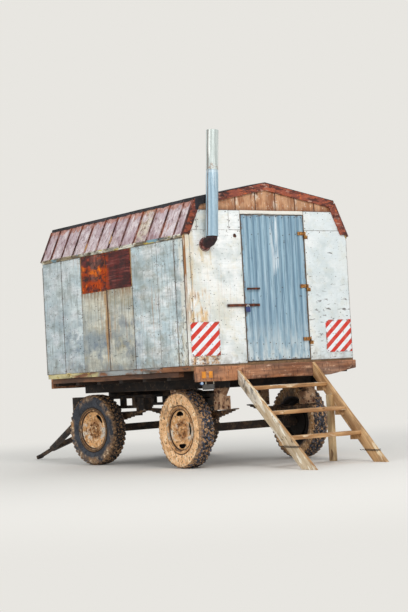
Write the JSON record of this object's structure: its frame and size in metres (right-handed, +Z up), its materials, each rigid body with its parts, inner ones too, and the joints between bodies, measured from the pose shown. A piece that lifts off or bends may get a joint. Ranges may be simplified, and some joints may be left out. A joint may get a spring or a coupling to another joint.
{
  "type": "tin-clad living wagon on a farm trailer chassis",
  "caption": "Hollow tin-clad living wagon with a gambrel roof and stovepipe on a steered farm trailer chassis, with a hinged door, timber steps and a drawbar.",
  "frame": {"origin": "on the ground under the middle of the wagon's outer box", "axes": "+Z up, -Y out of the door end with its steps, +Y along the drawbar, +X to the right when facing the door"},
  "size_m": [2.57, 7.1275, 4.1152],
  "materials": {
    "bare_timber": "weathered bare softwood",
    "old_painted_timber": "flaking yellow and white paint on board",
    "galvanised_sheet": "dented sheet, grey-white paint",
    "rusted_sheet": "rusted thin sheet",
    "white_painted_sheet": "white paint with rust specks",
    "varnished_timber": "varnished board",
    "red_oxide_sheet": "oxide red and rusted sheet",
    "roofing_felt": "bitumen felt",
    "striped_enamel": "red and white stripes",
    "blue_corrugated_sheet": "blue-grey ribbed sheet",
    "rusted_steel": "rust",
    "blue_enamel": "blue lock case",
    "amber_plastic": "amber reflector",
    "lamp_lens": "pale blue lamp lens",
    "sooty_iron": "sooty and rusty iron",
    "galvanised_pipe": "dull galvanised pipe",
    "brown_timber": "old red-brown stained beam",
    "dark_steel": "dark chassis paint with rust and mud",
    "spring_steel": "dirty spring leaves",
    "raw_timber": "unplaned new plank, greying",
    "tyre_rubber": "worn black rubber with dried mud",
    "muddy_wheel_steel": "pressed steel under ochre mud"
  },
  "bodies": {
    "wagon": {"axle_rear": "dark_steel", "bargeboards": "red_oxide_sheet", "bearers": "bare_timber", "chassis_rails": "dark_steel", "cross_members": "dark_steel", "door_header": "white_painted_sheet", "eave_strips": "old_painted_timber", "end_beam_door": "brown_timber", "end_beam_far": "brown_timber", "end_wall_far": "white_painted_sheet", "end_wall_left": "white_painted_sheet", "end_wall_right": "white_painted_sheet", "floor": "bare_timber", "gable_boards": "varnished_timber", "hinge_plates": "rusted_steel", "lamp_bracket": "rusted_steel", "reflectors": "amber_plastic", "roof_slope_left": "red_oxide_sheet", "roof_slope_right": "red_oxide_sheet", "roof_top_left": "roofing_felt", "roof_top_right": "roofing_felt", "side_boards": "old_painted_timber", "side_lamp": "lamp_lens", "side_rails": "bare_timber", "side_wall_left": "galvanised_sheet", "side_wall_right": "galvanised_sheet", "springs_rear": "spring_steel", "step_post": "raw_timber", "step_stringers": "raw_timber", "step_treads": "raw_timber", "stove_elbow": "sooty_iron", "stovepipe_lower": "galvanised_pipe", "stovepipe_upper": "galvanised_pipe", "turntable_upper": "dark_steel", "warning_boards": "striped_enamel", "window_patches": "rusted_sheet"},
    "door": {"door_panel": "blue_corrugated_sheet", "hinge_straps": "rusted_steel", "door_handle": "rusted_steel", "hasp_bar": "rusted_steel", "padlock": "blue_enamel"},
    "bogie": {"turntable_lower": "dark_steel", "bogie_side_frames": "dark_steel", "bogie_cross_members": "dark_steel", "springs_front": "spring_steel", "axle_front": "dark_steel"},
    "drawbar": {"drawbar": "dark_steel"},
    "wheel_rear_left": {"tyre_rear_left": "tyre_rubber", "wheel_rear_left": "muddy_wheel_steel"},
    "wheel_rear_right": {"tyre_rear_right": "tyre_rubber", "wheel_rear_right": "muddy_wheel_steel"},
    "wheel_front_left": {"tyre_front_left": "tyre_rubber", "wheel_front_left": "muddy_wheel_steel"},
    "wheel_front_right": {"tyre_front_right": "tyre_rubber", "wheel_front_right": "muddy_wheel_steel"}
  },
  "joints": [
    {"name": "door_swing", "type": "hinge", "parent": "wagon", "child": "door", "pos_m": [0.58, -2.09976, 2.183], "axis": [0, 0, 1], "range_deg": [0, 160]},
    {"name": "bogie_steer", "type": "hinge", "parent": "wagon", "child": "bogie", "pos_m": [0, 1.04824, 0.98], "axis": [0, 0, 1], "range_deg": [-55, 35]},
    {"name": "drawbar_pitch", "type": "hinge", "parent": "bogie", "child": "drawbar", "pos_m": [-0.15715, 1.93949, 0.64], "axis": [0.9848, 0.1736, 0], "range_deg": [0, 55]},
    {"name": "wheel_rear_left_spin", "type": "hinge", "parent": "wagon", "child": "wheel_rear_left", "pos_m": [-0.89, -1.35176, 0.481], "axis": [1, 0, 0], "continuous": true},
    {"name": "wheel_rear_right_spin", "type": "hinge", "parent": "wagon", "child": "wheel_rear_right", "pos_m": [0.89, -1.35176, 0.481], "axis": [1, 0, 0], "continuous": true},
    {"name": "wheel_front_left_spin", "type": "hinge", "parent": "bogie", "child": "wheel_front_left", "pos_m": [-0.87648, 0.89369, 0.481], "axis": [0.9848, 0.1736, 0], "continuous": true},
    {"name": "wheel_front_right_spin", "type": "hinge", "parent": "bogie", "child": "wheel_front_right", "pos_m": [0.87648, 1.20279, 0.481], "axis": [0.9848, 0.1736, 0], "continuous": true}
  ]
}
